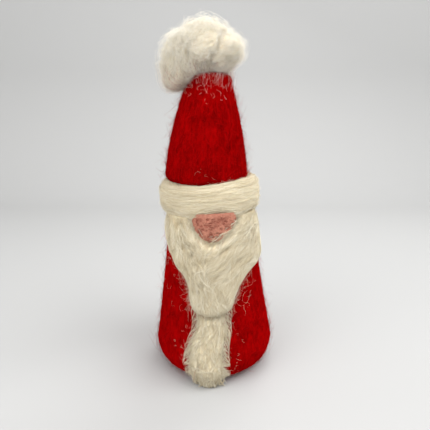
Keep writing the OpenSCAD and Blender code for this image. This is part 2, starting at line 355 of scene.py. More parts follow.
redFibres = [fibreMaterial("redFibreDeep", mixColour("redDeep", "redBright", 0.2), specular=0),
             fibreMaterial("redFibre", mixColour("redDeep", "redBright", 0.7), specular=0),
             fibreMaterial("redFibreBright", mixColour("redDeep", "redBright", 1.7), specular=0.05)]
creamFibres = [fibreMaterial("creamFibreShade", mixColour("creamShade", "cream", 0.45)),
               fibreMaterial("creamFibre", colours["cream"]),
               fibreMaterial("creamFibreLight", colours["creamLight"])]
paleFibres = [fibreMaterial("paleFibreShade", (0.90, 0.79, 0.58), scatter=0.6),
              fibreMaterial("paleFibre", (0.96, 0.885, 0.71), scatter=0.6),
              fibreMaterial("paleFibreLight", (0.98, 0.93, 0.79), scatter=0.6)]
pinkFibres = [fibreMaterial("pinkFibre", mixColour("pinkDeep", "pink", 0.9)),
              fibreMaterial("pinkFibreLight", mixColour("pinkDeep", "pink", 1.35))]
fibreWools = {"red": (redFibres, "red_wool"), "cream": (creamFibres, "white_wool"),
              "pale": (paleFibres, "white_wool"), "pink": (pinkFibres, "pink_wool")}


strandRadius = (0.035 * mm, 0.075 * mm)
# how many fibres take each of a wool's three shades, from dark to light
shadeShares = {"hairs": [0.2, 0.4, 0.4], "strands": [0.25, 0.45, 0.3], "strays": [0.1, 0.4, 0.5],
               "beard": [0.22, 0.43, 0.35], "pompom": [0.15, 0.35, 0.5], "veil": [0.05, 0.35, 0.6],
               "wisps": [0.15, 0.45, 0.4]}


# Fibres as a piece of their own, in the shades of their wool.
def addFibres(name, paths, radius, shades, seed, wool, tip=0.25):
    materials, slot = fibreWools[wool]
    addPiece(name, fibreMesh(name, paths, radius, shades, seed, tip), materials)


# ---- body
body = {"rows": 120, "edgeRows": 26, "columns": 210, "lumps": 0.32 * mm, "pits": 0.12 * mm,
        "hairs": 5600, "hairLength": (1.6 * mm, 5.6 * mm), "hairRadius": (0.018 * mm, 0.036 * mm)}


# Lumps of a few millimetres and fine felt, pushed out along the radius.
def feltRelief(points, seed, lumps, pits):
    stretched = points * np.array([1, 1, 0.55])
    return lumps * cloudNoise(stretched, 7 * mm, seed) + pits * cloudNoise(stretched, 1.3 * mm, seed + 9, 2)


def bodyOff(turn, along):
    return feltRelief(onCoat(turn, along, 0), 11, body["lumps"], body["pits"])


turn = np.linspace(-np.pi, np.pi, body["columns"], endpoint=False)
along = np.concatenate([np.linspace(-1, 0, body["edgeRows"])[:-1],
                        np.linspace(0, 1, body["rows"] - body["edgeRows"])])
turnGrid, alongGrid = np.meshgrid(turn, along)
outer = onCoat(turnGrid, alongGrid, bodyOff(turnGrid, alongGrid))
inner = onCoat(turnGrid[::5], alongGrid[::-5], 2 * figure["gap"] - figure["wool"])
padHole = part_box("base_pad")[1].y + figure["gap"]
ring = np.stack([np.sin(turn), -np.cos(turn), 0 * turn], -1)
floorRing = ring * padHole
innerRing = ring * padHole + np.array([0, 0, figure["wool"] - figure["gap"]])
bodyGrid = aboveFloor(stand(np.concatenate([floorRing[None], outer, inner, innerRing[None]])), 0)
redFelt = woolMaterial("redFelt", colours["redDeep"], colours["redBright"], (1, 1, 0.35), 900,
                       sheen=0.4, specular=0)
bodyFelt = addPiece("bodyFelt", gridMesh("bodyFelt", bodyGrid, closeRows=True), [redFelt],
                    ["body_coat"])

rng = np.random.default_rng(3)
count = body["hairs"]
hairTurn = rng.uniform(-np.pi, np.pi, count)
hairZ = figure["edgeRadius"] * 0.35 + rng.uniform(0, 1, count) ** 1.15 * 66 * mm
length = rng.uniform(*body["hairLength"], count) * rng.choice([1, 1, 1, 1.7], count)
turns, heights = walkOnCoat(hairTurn, hairZ, rng.uniform(0, 2 * np.pi, count), length, 5, 0.5, rng)
lift = rng.choice([0.15, 0.3, 0.6], count, p=[0.45, 0.33, 0.22])[:, None] * length[:, None]
lift = lift * np.linspace(0, 1, 5)[None] ** rng.uniform(0.8, 2.0, (count, 1)) * 0.8
alongHair = alongAnywhere(np.maximum(heights, figure["edgeRadius"] * 0.2))
paths = aboveFloor(stand(onCoat(turns, alongHair, bodyOff(turns, alongHair) + lift - 0.1 * mm)), 0.05 * mm)
addFibres("bodyHairs", paths, rng.uniform(*body["hairRadius"], count),
          rng.choice(3, count, p=shadeShares["hairs"]), 4, "red", tip=0.3)
print("body done")

# ---- hat
hat = {"radius": 16.3 * mm, "tipRadius": 8.7 * mm, "height": 42 * mm, "tipHeight": 4.5 * mm, "tipPower": 0.62,
       "edge": 3 * mm, "flare": 1.18, "tilt": np.radians(3.5), "shift": -1.3 * mm,
       "columns": 170, "lumps": 0.3 * mm, "pits": 0.12 * mm, "full": 0.75 * mm,
       "hairs": 4900, "hairLength": (1.6 * mm, 5.4 * mm), "hairRadius": (0.018 * mm, 0.036 * mm),
       "bend": 0.12}            # share of the outline that the rim takes, and the tip as well
hat["skirt"] = (hat["radius"] - hat["edge"]) * np.sin(hat["tilt"])


# The first share rounds the rim, the next climbs the side, and the last closes the tip as a squarish
# quarter ellipse.
def hatOutline(share, off):
    bend, tip, edge = hat["bend"], 1 - hat["bend"], hat["edge"]
    side = hat["height"] - hat["tipHeight"]
    a = np.pi / 2 * (np.clip(share / bend, 0, 1) - 1)
    t = np.clip((share - bend) / (tip - bend), 0, 1)
    b = np.clip(np.pi / 2 * (share - tip) / bend, 0, np.pi / 2)
    radius = np.where(share < bend, hat["radius"] - edge + (edge + off) * np.cos(a),
                      hat["radius"] + off - (hat["radius"] - hat["tipRadius"]) * t ** hat["flare"])
    radius = np.where(share > tip, (hat["tipRadius"] + off) * np.cos(b) ** hat["tipPower"], radius)
    height = np.where(share < bend, edge + (edge + off) * np.sin(a), edge + t * (side - edge))
    height = np.where(share > tip, side + (hat["tipHeight"] + off) * np.sin(b) ** hat["tipPower"], height)
    return radius, height


# Turns by the tilt about Y and moves on to the neck.
def placeHat(points):
    a = hat["tilt"]
    x, y, z = points[..., 0], points[..., 1], points[..., 2]
    height = -x * np.sin(a) + z * np.cos(a) + figure["coatHeight"] + figure["gap"] - hat["skirt"]
    return np.stack([x * np.cos(a) + z * np.sin(a) + hat["shift"], y, height], -1)


def onHat(turn, share, off):
    radius, z = hatOutline(share, off)
    return polar(radius, turn, z)


def hatOff(turn, share):
    full = hat["full"] * np.sin(np.pi * np.clip(share, 0, 1)) ** 1.5
    return feltRelief(onHat(turn, share, 0), 31, hat["lumps"], hat["pits"]) + full


turn = np.linspace(-np.pi, np.pi, hat["columns"], endpoint=False)
share = np.concatenate([np.linspace(0, hat["bend"], 10)[:-1],
                        np.linspace(hat["bend"], 1 - hat["bend"], 50)[:-1],
                        np.linspace(1 - hat["bend"], 1, 12)])
turnGrid, shareGrid = np.meshgrid(turn, share)
outer = onHat(turnGrid, shareGrid, hatOff(turnGrid, shareGrid))
inner = onHat(turnGrid[9:], shareGrid[9:], 2 * figure["gap"] - figure["wool"])
foot = inner[:1] * np.array([0.95, 0.95, 0]) + np.array([0, 0, 0.3 * mm])
outer[-1] = outer[-1].mean(0)
inner[-1] = inner[-1].mean(0)
hatGrid = placeHat(np.concatenate([inner[::-1], foot, outer]))
hatGrid = aboveFloor(hatGrid, figure["coatHeight"] + figure["gap"])
hatWool = woolMaterial("hatFelt", colours["redDeep"], colours["redBright"], (1, 1, 0.16), 1000,
                       patch=0.25, bump=0.7, sheen=0.12, specular=0)
hatFelt = addPiece("hatFelt", gridMesh("hatFelt", stand(hatGrid)), [hatWool], ["hat_coat"])

rng = np.random.default_rng(5)
count = hat["hairs"]
length = rng.uniform(*hat["hairLength"], count) * rng.choice([1, 1, 1, 1.6], count)
shares = rng.uniform(0, 1, count) ** 1.25 * 0.86 + 0.06
heading = rng.normal(np.pi / 2, 0.7, count) + rng.choice([0, np.pi], count)
steps = np.linspace(0, 1, 5)[None]
curl = rng.normal(0, 0.9, (count, 1))
bend = heading[:, None] + curl * steps
run = length[:, None] / 4
u = np.cumsum(np.cos(bend) * run, 1) - run * np.cos(bend)[:, :1]
v = np.cumsum(np.sin(bend) * run, 1) - run * np.sin(bend)[:, :1]
shareHair = np.clip(shares[:, None] + v / hat["height"], 0.02, 0.99)
turnHair = rng.uniform(-np.pi, np.pi, count)[:, None] + u / (12 * mm)
lift = rng.choice([0.1, 0.25, 0.75], count, p=[0.5, 0.35, 0.15])[:, None]
lift = lift * length[:, None] * steps ** 1.3 * 0.8
paths = stand(placeHat(onHat(turnHair, shareHair, hatOff(turnHair, shareHair) + lift - 0.1 * mm)))
addFibres("hatHairs", paths, rng.uniform(*hat["hairRadius"], count),
          rng.choice(3, count, p=shadeShares["hairs"]), 6, "red", tip=0.3)
print("hat done")

# ---- brim
brim = {"radius": (brimHigh.y - brimLow.y) / 2, "height": 13.4 * mm, "rows": 54, "columns": 220,
        "overNose": 1.5 * mm, "fibres": 2700, "fibreLength": (9 * mm, 26 * mm),
        "fibreRadius": (0.035 * mm, 0.09 * mm)}
brim["middle"] = (brimLow.z + brimHigh.z) / 2 + figure["footSink"]


# Radius of the hat's side seen from the figure's axis: its own radius, less where the rim rounds, plus
# the shift of its centre.
def hatSeat(turn, z):
    up = z - figure["coatHeight"]
    t = np.clip((up - hat["edge"]) / (hat["height"] - hat["edge"]), 0, 1)
    own = hat["radius"] - (hat["radius"] - hat["tipRadius"]) * t ** hat["flare"]
    own = own - np.clip(hat["edge"] - up, 0, hat["edge"]) ** 2 / (2 * hat["edge"])
    return own + (hat["shift"] + up * np.tan(hat["tilt"])) * np.sin(turn)


# Section: a rounded box, power 0.8 of cosine and sine, round the outside; the wool's seat inside.
# Bell curves over the turn lift the lower edge over the nose, dip it on both sides of that and lower
# the upper edge in front.
def onBrim(turn, section, off):
    c, s = np.cos(section), np.sin(section)
    half = brim["height"] / 2 + 0.3 * mm * np.sin(turn + 0.4) + 0.2 * mm * np.sin(3 * turn + 1)
    z = brim["middle"] + 0.35 * mm * np.sin(turn) + (half + off) * np.sign(s) * np.abs(s) ** 0.8
    overNose = brim["overNose"] * bell(turn, 0.13, 0.29) + 0.35 * mm * np.cos(turn)
    dent = -0.95 * mm * bell(turn, -0.32, 0.19) - 0.7 * mm * bell(turn, 0.6, 0.17)
    z = z + (overNose + dent) * smoothStep(0.3, -0.9, s)
    z = z - 0.95 * mm * bell(turn, -0.2, 0.55) * smoothStep(-0.2, 0.9, s)
    seat = np.where(z < figure["coatHeight"], coatRadius(z), hatSeat(turn, z)) + figure["gap"]
    base = np.minimum(coatRadius(brim["middle"]), brim["radius"] - 3 * mm)
    outside = base + (brim["radius"] - base + off) * np.abs(np.maximum(c, 0)) ** 0.8
    radius = np.where(c > 0, np.maximum(outside, seat + 0.2 * mm), seat)
    return polar(radius, turn, z)


def brimOff(turn, section):
    p = np.stack([np.cos(turn) * 3 * mm, np.sin(turn) * 3 * mm, section * 7 * mm], -1)
    ropes = cloudNoise(p, 1.5 * mm, 51, 2) * 0.18 * mm
    p = np.stack([np.cos(turn), np.sin(turn), section * 0.35], -1) * 20 * mm
    return ropes + cloudNoise(p, 9 * mm, 52) * 0.45 * mm - 0.3 * mm


turn = np.linspace(-np.pi, np.pi, brim["columns"], endpoint=False)
section = np.linspace(-np.pi, np.pi, brim["rows"], endpoint=False)
turnGrid, sectionGrid = np.meshgrid(turn, section)
brimGrid = stand(onBrim(turnGrid, sectionGrid, brimOff(turnGrid, sectionGrid)))
brimWool = woolMaterial("brimRoving", colours["creamShade"], colours["cream"], (10, 90, 1), 1,
                        patch=0.45, bump=0.3, useMap=True, scatter=0.3)
brimMesh = gridMesh("brimRoving", brimGrid, closeRows=True)
brimRoving = addPiece("brimRoving", brimMesh, [brimWool], ["brim"])

rng = np.random.default_rng(7)
count = brim["fibres"]
length = rng.uniform(*brim["fibreLength"], count)
steps = np.linspace(0, 1, 10)[None]
start = rng.uniform(-np.pi, np.pi, count)[:, None]
level = rng.uniform(-1.6, 1.7, count)[:, None]
slope = rng.normal(0, 0.2, (count, 1)) + 0.08 * np.sin(3 * start)
wave = rng.normal(0, 0.06, (count, 1)) * np.sin(steps * rng.uniform(3, 12, (count, 1)) + start * 5)
turns = start + steps * length[:, None] / brim["radius"]
sections = level + slope * steps + wave
lift = rng.uniform(-0.06, 0.1, (count, 1)) * mm
lift = lift + rng.choice([0, 0.6], (count, 1), p=[0.9, 0.1]) * mm * np.sin(np.pi * steps)
paths = stand(onBrim(turns, sections, brimOff(turns, sections) + lift))
addFibres("brimFibres", paths, rng.uniform(*brim["fibreRadius"], count),
          rng.choice(3, count, p=shadeShares["strands"]), 8, "cream")
print("brim done")

# ---- nose
nose = {"turn": np.radians(6.5), "halfWidth": 8.3 * mm, "drop": 10.2 * mm, "out": 3.9 * mm,
        "rows": 90, "columns": 110, "pits": 130}
nose["top"] = brim["middle"] - brim["height"] / 2 + 1.2 * mm


# Share of the nose's drop below the brim at height z.
def noseShare(z):
    return np.clip((nose["top"] - z) / nose["drop"], 0, 1)


# Half width of the nose: (1 - share^2)^0.75 of its widest.
def noseHalf(z):
    return nose["halfWidth"] * (1 - noseShare(z) ** 2) ** 0.75


# The nose's middle leans a little to the viewer's left on its way down.
def noseTurn(z):
    return nose["turn"] - 0.075 * noseShare(z)

# ---- beard
# share of the height from tip to brim, then degrees round the body
beard = {
    "tip": bibLow.z + figure["footSink"] - 0.2 * mm,
    "top": brim["middle"] - brim["height"] / 2 + 1.0 * mm,
    "span": 36 * mm,
    "left": [(0, -4), (0.02, -12), (0.05, -17.5), (0.1, -21), (0.2, -22.5), (0.28, -23.5), (0.36, -26.5),
             (0.42, -30), (0.47, -37), (0.53, -42.5), (0.6, -49), (0.7, -59), (0.8, -72), (0.9, -80),
             (1, -84)],
    "right": [(0, 4), (0.02, 11.5), (0.05, 17), (0.1, 20.5), (0.16, 22), (0.19, 23), (0.22, 24.4),
              (0.28, 28.2), (0.33, 32.8), (0.38, 39), (0.43, 47), (0.46, 54.5), (0.5, 66), (0.54, 80),
              (0.66, 93), (1, 99)],
    "partLeft": [(0, -27), (0.28, -23.5), (0.45, -22), (0.6, -14), (0.725, -2), (1, -2)],
    "partRight": [(0, 25), (0.19, 23), (0.4, 20), (0.6, 11), (0.725, -2), (1, -2)],
    "thick": 3.0 * mm, "bibThick": 4.6 * mm, "round": 3.0 * mm,
    "rows": 96, "columns": 84, "dents": 60, "deepDent": 0.8 * mm,
    "fibres": {"left": 2200, "right": 2900, "bib": 2800}, "fibreLength": (4 * mm, 13 * mm),
}


# The table's straight runs, rounded by averaging each value over a short stretch.
def smoothTable(table, places, window):
    v = np.linspace(-0.1, 1.1, places)
    knots = np.array(table, float)
    weights = np.hanning(window)
    padded = np.pad(np.interp(v, knots[:, 0], knots[:, 1]), window // 2, mode="edge")
    return v, np.radians(np.convolve(padded, weights / weights.sum(), mode="valid"))


tables = {name: smoothTable(beard[name], 481, 21) for name in ("left", "right", "partLeft", "partRight")}


def beardEdge(name, z):
    return np.interp((z - beard["tip"]) / beard["span"], *tables[name])


def beardHeight(v):
    return beard["tip"] + v * beard["span"]


# Outline of the beard laid flat: arc length round the coat against height.
edgeZ = np.linspace(beard["tip"], beard["top"], 90)
flatLeft = np.stack([beardEdge("left", edgeZ) * coatRadius(edgeZ), edgeZ], -1)
flatRight = np.stack([beardEdge("right", edgeZ) * coatRadius(edgeZ), edgeZ], -1)
beardLine = np.concatenate([flatLeft[::-1], flatRight])
noseZ = nose["top"] - nose["drop"] * np.sin(np.linspace(0, np.pi / 2, 30))
noseX = noseTurn(noseZ) * coatRadius(noseZ)
noseLine = np.concatenate([np.stack([noseX - noseHalf(noseZ), noseZ], -1),
                           np.stack([noseX + noseHalf(noseZ), noseZ], -1)[::-1]])

# needle dents: a few at listed places under the nose, the rest anywhere; each is its distance along the
# coat, its height, its size and its depth, in millimetres
rng = np.random.default_rng(29)
chosen = np.array([(-8.8, 57.2, 0.8, 0.8), (-6.0, 54.6, 0.9, 0.8), (-4.6, 51.6, 1.1, 0.8),
                   (-2.0, 52.6, 0.7, 0.6), (-11.0, 65.5, 1.2, 0.9), (-8.0, 49.0, 0.8, 0.5),
                   (1.0, 47.0, 0.7, 0.5), (-3.0, 44.0, 0.8, 0.5), (5.2, 57.0, 0.6, 0.8),
                   (3.0, 55.4, 0.6, 0.7), (-12.5, 55.0, 0.7, 0.5), (9.0, 52.0, 0.8, 0.4)]) * mm
anywhere = np.stack([rng.uniform(-16, 24, beard["dents"]), rng.uniform(34, 66, beard["dents"]),
                     rng.uniform(0.4, 0.8, beard["dents"]), rng.uniform(0.15, 0.5, beard["dents"])], -1) * mm
dents = np.concatenate([chosen, anywhere])


# Sum of bell curves, one and a half times longer along the fibres than across.
def beardDents(turn, z):
    dx = (turn * coatRadius(z)).reshape(-1, 1) - dents[:, 0]
    dz = np.asarray(z).reshape(-1, 1) - dents[:, 1]
    along, across = (dx * 0.8 + dz * 0.6) / 1.5, dz * 0.8 - dx * 0.6
    bells = dents[:, 3] * np.exp(-(along ** 2 + across ** 2) / dents[:, 2] ** 2)
    return bells.sum(1).reshape(np.shape(turn))


# Full thickness times the height of a quarter circle over the distance to the edge; less beside the nose
# and far round both sides; plus lumps along the wool's flow and minus the dents.
def beardThickness(turn, z):
    shape = np.shape(turn)
    flat = np.stack([(turn * coatRadius(z)).ravel(), np.asarray(z).ravel()], -1)
    inside = ((turn > beardEdge("left", z)) & (turn < beardEdge("right", z)) & (z > beard["tip"])).ravel()
    d = np.where(inside, distanceToLine(flat, beardLine), 0).reshape(shape)
    dNose = distanceToLine(flat, noseLine).reshape(shape)
    degrees = np.degrees(turn)
    middle = bell(degrees, -1, 21) * smoothStep(61 * mm, 50 * mm, z)
    full = beard["thick"] + (beard["bibThick"] - beard["thick"]) * middle
    full = full * (1 - 0.62 * smoothStep(-35, -75, degrees)) * (1 - 0.5 * smoothStep(55, 82, degrees))
    full = full * (0.8 + 0.2 * smoothStep(68 * mm, 63 * mm, z))
    edge = np.sqrt(np.clip(1 - (1 - np.clip(d / beard["round"], 0, 1)) ** 2, 0, 1))
    byNose = 0.55 + 0.45 * smoothStep(0, 2.0 * mm, dNose)
    u, v = flat[:, 0], flat[:, 1]
    flow = np.stack([u * 0.8 + v * 0.35, v * 0.45 - u * 0.3, u * 0], -1)
    lumps = cloudNoise(flow, 4.5 * mm, 61).reshape(shape) * 0.45 * mm
    lumps = lumps + cloudNoise(flow, 1.1 * mm, 62, 2).reshape(shape) * 0.13 * mm
    return np.maximum((full + lumps - beardDents(turn, z)) * edge * byNose, 0)


# A lock's sheet: across between its two edges at each height, out by the beard's thickness, back along
# the coat, as one closed ring per row; the last row closes on itself.
def lockGrid(z0, z1, fromEdge, toEdge):
    z = np.linspace(z0, z1, beard["rows"])[:, None]
    across = (1 - np.cos(np.linspace(0, np.pi, beard["columns"]))) / 2
    left, right = fromEdge(z), toEdge(z)
    turn = left + (right - left) * across[None]
    zGrid = np.broadcast_to(z, turn.shape)
    front = onCoat(turn, alongFor(zGrid), beardThickness(turn, zGrid) + figure["gap"])
    back = onCoat(turn, alongFor(zGrid), figure["gap"] * 0.9)
    front[:1] = back[:1]
    grid = np.concatenate([front, back[:, ::-1]], 1)
    cap = np.concatenate([back[-1:], back[-1:, ::-1]], 1)
    # painted shade: the wool is darker in the needle dents, by their depth as a share of the deepest dent
    shade = np.clip(beardDents(turn, zGrid) / beard["deepDent"], 0, 1)
    shade = np.concatenate([shade, 0 * shade], 1)
    return stand(np.concatenate([grid, cap])), np.concatenate([shade, 0 * shade[:1]])


# The side locks reach a little way under the nose; below it they meet at their common line.
def underNose(z):
    return np.maximum(noseHalf(z) - 1.2 * mm, 0) / coatRadius(z)


def partLeftEdge(z):
    part = beardEdge("partLeft", z)
    meet = np.minimum(np.maximum(part, -0.035), noseTurn(z) - underNose(z))
    return np.where(z > nose["top"] - nose["drop"], meet, part)


def partRightEdge(z):
    return np.where(z > nose["top"] - nose["drop"] + 1 * mm, noseTurn(z) + underNose(z),
                    beardEdge("partRight", z))


def leftEdge(z):
    return beardEdge("left", z)


def rightEdge(z):
    return beardEdge("right", z)


# The side locks are at least a hundredth of a radian wide.
def lockLeft(z):
    return np.minimum(leftEdge(z), partLeftEdge(z) - 0.01)


def lockRight(z):
    return np.maximum(rightEdge(z), partRightEdge(z) + 0.01)


def bibLeft(z):
    return np.maximum(leftEdge(z), beardEdge("partLeft", z))


def bibRight(z):
    return np.minimum(rightEdge(z), beardEdge("partRight", z))


beardWool = woolMaterial("beardWool", colours["creamShade"], colours["cream"], (1, 1, 0.6), 800,
                         patch=0.45, bump=0.45, scatter=0.3)
lockShapes = {
    "beardLeftLock": (beardHeight(0.27), beard["top"], lockLeft, partLeftEdge, "beard_left_lock"),
    "beardRightLock": (beardHeight(0.18), beard["top"], partRightEdge, lockRight, "beard_right_lock"),
    "beardBib": (beardHeight(0), beardHeight(0.73), bibLeft, bibRight, "beard_bib"),
}
for name, (z0, z1, fromEdge, toEdge, node) in lockShapes.items():
    grid, shade = lockGrid(z0, z1, fromEdge, toEdge)
    mesh = gridMesh(name, grid, shade=shade)
    addPiece(name, mesh, [beardWool], [node])


# Heading of an edge of the outline on its way down: the slope of its arc length over height.
def edgeHeading(name, z):
    step = 0.3 * mm
    above = beardEdge(name, z + step) * coatRadius(z + step)
    below = beardEdge(name, z - step) * coatRadius(z - step)
    return np.arctan2(-1, -(above - below) / (2 * step))


# Fibres run down on the left, from upper right to lower left on the right, and along the outline near it.
def beardFlow(turn, z):
    degrees = np.degrees(turn)
    right = smoothStep(-14, 16, degrees) * smoothStep(40 * mm, 50 * mm, z)
    left = smoothStep(-8, -32, degrees)
    heading = np.radians(-90 - 48 * right + 12 * left + 24 * np.sin(turn * 9 + z / (5 * mm)))
    r = coatRadius(z)
    for name, inward in (("left", turn - beardEdge("left", z)), ("right", beardEdge("right", z) - turn)):
        weight = np.exp(-np.maximum(inward, 0) * r / (2.2 * mm))
        heading = heading + weight * (edgeHeading(name, z) - heading)
    return heading


rng = np.random.default_rng(13)
strandAreas = {"left": (leftEdge, partLeftEdge, beardHeight(0.25), beard["top"]),
               "right": (partRightEdge, rightEdge, beardHeight(0.16), beard["top"]),
               "bib": (bibLeft, bibRight, beard["tip"] + 0.2 * mm, beardHeight(0.8))}
for name, (fromEdge, toEdge, z0, z1) in strandAreas.items():
    tries = beard["fibres"][name] * 3
    z = z0 + (z1 - z0) * rng.uniform(0, 1, tries)
    left, right = fromEdge(z), toEdge(z)
    width = np.maximum(right - left, 0) * coatRadius(z)
    keep = np.nonzero(rng.uniform(0, width.max(), tries) < width + 0.06 * width.max())[0]
    keep = keep[:beard["fibres"][name]]
    z, left, right = z[keep], left[keep], right[keep]
    count = len(z)
    turn = left + (right - left) * rng.uniform(0.0, 1.0, count)
    heading = beardFlow(turn, z) + rng.normal(0, 0.5, count)
    length = rng.uniform(*beard["fibreLength"], count)
    turns, heights = walkOnCoat(turn, z, heading, length, 9, 0.24, rng, beardFlow, 0.25)
    margin = (rng.exponential(0.22, (count, 1)) - 0.25) * mm / (19 * mm)
    heights = np.maximum(heights, beard["tip"] + rng.uniform(-0.2, 0.6, (count, 1)) * mm)
    turns = np.clip(turns, leftEdge(heights) - margin, rightEdge(heights) + margin)
    arch = np.sin(np.pi * np.linspace(0, 1, 9))[None]
    lift = rng.uniform(-0.12, 0.2, (count, 1)) * mm
    lift = lift + rng.choice([0, 0.55], (count, 1), p=[0.85, 0.15]) * mm * arch
    off = np.maximum(beardThickness(turns, heights), 0.12 * mm) + lift + figure["gap"]
    paths = stand(onCoat(turns, alongFor(heights), off))
    fibreName = "beard" + name.capitalize() + "Fibres"
    radius = rng.choice([1, 1.9], count, p=[0.75, 0.25]) * rng.uniform(*strandRadius, count)
    # painted shade: fibres whose middle lies in a deeper dent take the darkest shade of the wool
    hollow = beardDents(turns[:, 4], heights[:, 4]) / beard["deepDent"]
    deep = hollow + rng.uniform(0, 0.5, count) > 0.62
    shades = np.where(deep, 0, rng.choice(3, count, p=shadeShares["beard"]))
    addFibres(fibreName, paths, radius, shades, 14, "cream")
print("beard done")

# ---- nose felt
u = np.sin(np.linspace(-0.16, np.pi / 2, nose["rows"]))[:, None]
z = nose["top"] - nose["drop"] * u
across = -np.cos(np.linspace(0, np.pi, nose["columns"]))
flatX = noseHalf(z) * across[None]
zGrid = np.broadcast_to(z, flatX.shape)
rng = np.random.default_rng(17)
pitX = rng.uniform(-1, 1, nose["pits"]) * nose["halfWidth"]
pitZ = nose["top"] - rng.uniform(0, 1, nose["pits"]) * nose["drop"]
pitSize = rng.uniform(0.2, 0.5, nose["pits"]) * mm
pitDepth = rng.uniform(0.25, 1, nose["pits"])
reach = ((flatX[..., None] - pitX) ** 2 + (zGrid[..., None] - pitZ) ** 2) / pitSize ** 2
pits = np.clip((np.exp(-reach) * pitDepth).sum(-1), 0, 1)
dome = np.sqrt(np.clip(1 - across[None] ** 2, 0, 1)) * np.clip(1 - np.maximum(u, 0) ** 3, 0, 1) ** 0.5
grain = cloudNoise(np.stack([flatX, zGrid, 0 * flatX], -1), 0.9 * mm, 71, 3)
out = nose["out"] * dome ** 0.8 + (0.16 * mm * grain - 0.55 * mm * pits) * smoothStep(0, 0.35, dome)
noseTurns = noseTurn(zGrid) + flatX / coatRadius(zGrid)
front = onCoat(noseTurns, alongFor(zGrid), np.maximum(out, 0.02 * mm) + 2 * figure["gap"])
back = onCoat(noseTurns, alongFor(zGrid), 2 * figure["gap"])
front[:, 0], front[:, -1], front[-1] = back[:, 0], back[:, -1], back[-1]
cap = np.concatenate([back[:1], back[:1, ::-1]], 1)
grid = np.concatenate([cap, np.concatenate([front, back[:, ::-1]], 1)])
noseMaterial = woolMaterial("noseFelt", colours["pinkDeep"], colours["pink"], (1, 1, 1), 1500,
                            patch=0.4, bump=0.8, sheen=0.3)
# painted shade: the pits are darkened by nine tenths of their depth
noseShade = np.concatenate([pits * 0.9, 0 * pits], 1)
noseShade = np.concatenate([noseShade[:1] * 0, noseShade])
noseMesh = gridMesh("noseFelt", stand(grid), shade=noseShade)
noseFelt = addPiece("noseFelt", noseMesh, [noseMaterial], ["nose"])

# fibres of the beard that run round the nose like a rim, and short pink ones on it
count = 90
u = np.linspace(0, 1, 22)[None]
side = rng.choice([-1, 1], (count, 1), p=[0.5, 0.5])
start = rng.uniform(0, 0.5, (count, 1))
share = start + (rng.uniform(0.3, 0.9, (count, 1))) * u
a = np.pi * np.clip(share, 0, 1) * side
inset = rng.uniform(-0.2, 0.9, (count, 1)) * mm
zRim = nose["top"] - nose["drop"] * np.sin(np.abs(a)) ** 0.85 - inset * np.sin(np.abs(a))
zRim = np.maximum(zRim, nose["top"] - nose["drop"] - inset)
sideX = np.where(np.abs(a) < np.pi / 2, -1, 1) * np.sign(side)
rimX = sideX * (noseHalf(np.maximum(zRim, nose["top"] - nose["drop"])) + inset * np.abs(np.cos(a)))
lift = rng.uniform(0.9, 2.0, (count, 1)) * mm + 0.2 * mm * np.sin(u * 9)
turns = noseTurn(zRim) + rimX / coatRadius(zRim)
rimPaths = stand(onCoat(turns, alongFor(zRim), lift))
addFibres("noseRimFibres", rimPaths, rng.uniform(0.03 * mm, 0.055 * mm, count),
          rng.choice(3, count, p=shadeShares["hairs"]), 15, "cream")
count = 420
flatX = rng.uniform(-1, 1, (count, 1)) * nose["halfWidth"]
zHair = nose["top"] - rng.uniform(0, 0.95, (count, 1)) * nose["drop"]
keep = (np.abs(flatX) < noseHalf(zHair) * 0.93)[:, 0]
flatX, zHair = flatX[keep], zHair[keep]
count = len(flatX)
angle = rng.uniform(0, 2 * np.pi, (count, 1)) + rng.normal(0, 1.2, (count, 1)) * np.linspace(0, 1, 5)
run = rng.uniform(0.8, 2.2, (count, 1)) * mm / 4
xHair = flatX + np.cumsum(np.cos(angle) * run, 1)
zHair = zHair + np.cumsum(np.sin(angle) * run, 1)
c = np.clip(xHair / np.maximum(noseHalf(zHair), 0.1 * mm), -0.98, 0.98)
out = nose["out"] * (np.sqrt(1 - c ** 2) * np.clip(1 - noseShare(zHair) ** 3, 0, 1) ** 0.5) ** 0.8
hairPaths = stand(onCoat(noseTurn(zHair) + xHair / coatRadius(zHair), alongFor(zHair),
                         out + 2 * figure["gap"] + rng.uniform(-0.05, 0.12, (count, 1)) * mm))
addFibres("noseFibres", hairPaths, rng.uniform(0.03 * mm, 0.05 * mm, count),
          rng.choice(2, count), 16, "pink")
print("nose done")

# ---- coat trim
trim = {"low": -0.68, "top": alongFor(beard["tip"] + 5 * mm), "width": 13.0 * mm, "thick": 2.9 * mm,
        "hidden": 1.3 * mm, "shade": 2.5 * mm,
        "sideRun": 69 * mm, "edgeRun": 17.3 * mm,       # way up the coat's side and round its lower edge
        "middle": [(0, -6.5), (0.5, -6.5), (0.7, -7.2), (0.77, -5.5), (0.85, -1), (1, -0.5)],
        "rows": 100, "edgeRows": 53, "columns": 64, "fibres": 2800, "fibreLength": (3 * mm, 9 * mm)}


tables["trim"] = smoothTable(trim["middle"], 241, 17)


def trimMiddle(along):
    return np.interp((along - trim["low"]) / (trim["top"] - trim["low"]), *tables["trim"])


# Half width in radians: full on the side, with a waist under the beard, narrowing round the lower edge.
def trimHalf(along):
    radius = np.where(along < 0, coatOutline(along, 0)[0], figure["radius"])
    waist = 1 - 0.08 * bell(along, 0.23, 0.06)
    return trim["width"] / 2 / radius * waist * (1 - 0.4 * smoothStep(-0.3, trim["low"], along))


